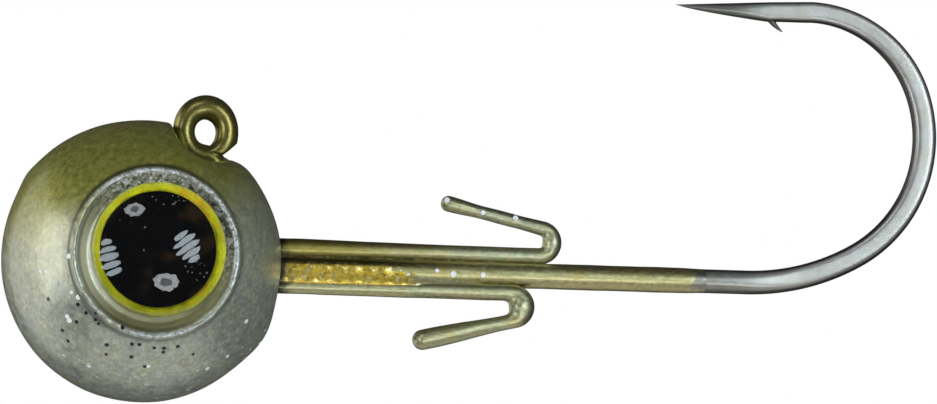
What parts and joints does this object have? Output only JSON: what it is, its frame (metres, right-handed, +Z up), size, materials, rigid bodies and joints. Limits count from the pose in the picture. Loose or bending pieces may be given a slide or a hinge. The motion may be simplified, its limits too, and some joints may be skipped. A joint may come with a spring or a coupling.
{
  "type": "jig head",
  "caption": "Round-ball fishing jig head on a barbed hook, with raised eye sockets, domed eyes, a wire line tie and sprung wire bait keepers.",
  "frame": {"origin": "centre of the line tie's hole", "axes": "+X along the hook's shank from the ball towards the bend, +Z up from the shank towards the hook's point, +Y along the line tie's hole towards the right side of the head"},
  "size_m": [0.0426, 0.0118, 0.019],
  "materials": {
    "hook_steel": "forged and nickel-plated, coated with the head's paint up to the end of the shank",
    "head_paint": "pearl paint from olive gold on top to silver below, with glitter flakes under a glossy clear coat",
    "keeper_coat": "olive gold translucent coating over steel wire",
    "cured_coating": "translucent gold coating with glitter",
    "eye_adhesive": "double-sided adhesive foam",
    "eye_foil": "bright yellow holographic film",
    "eye_black": "black print",
    "eye_resin": "clear polished resin"
  },
  "bodies": {
    "jig": {"hook": "hook_steel", "lead_ball": "head_paint", "upper_keeper_leg": "keeper_coat", "lower_keeper_leg": "keeper_coat", "upper_coating_bridge": "cured_coating", "lower_coating_bridge": "cured_coating", "left_eye_adhesive": "eye_adhesive", "left_eye_foil": "eye_foil", "left_eye_pupil": "eye_black", "left_eye_dome": "eye_resin", "right_eye_adhesive": "eye_adhesive", "right_eye_foil": "eye_foil", "right_eye_pupil": "eye_black", "right_eye_dome": "eye_resin"},
    "upper_arm": {"upper_keeper_arm": "keeper_coat"},
    "lower_arm": {"lower_keeper_arm": "keeper_coat"}
  },
  "joints": [
    {"name": "upper_keeper_flex", "type": "hinge", "parent": "jig", "child": "upper_arm", "pos_m": [0.0154, 0, -0.00391], "axis": [0, 1, 0], "range_deg": [-6, 4], "stiffness_Nm_per_rad": 0.7},
    {"name": "lower_keeper_flex", "type": "hinge", "parent": "jig", "child": "lower_arm", "pos_m": [0.01421, -0.00038, -0.00813], "axis": [0, -1, 0], "range_deg": [-6, 4], "stiffness_Nm_per_rad": 0.7}
  ]
}
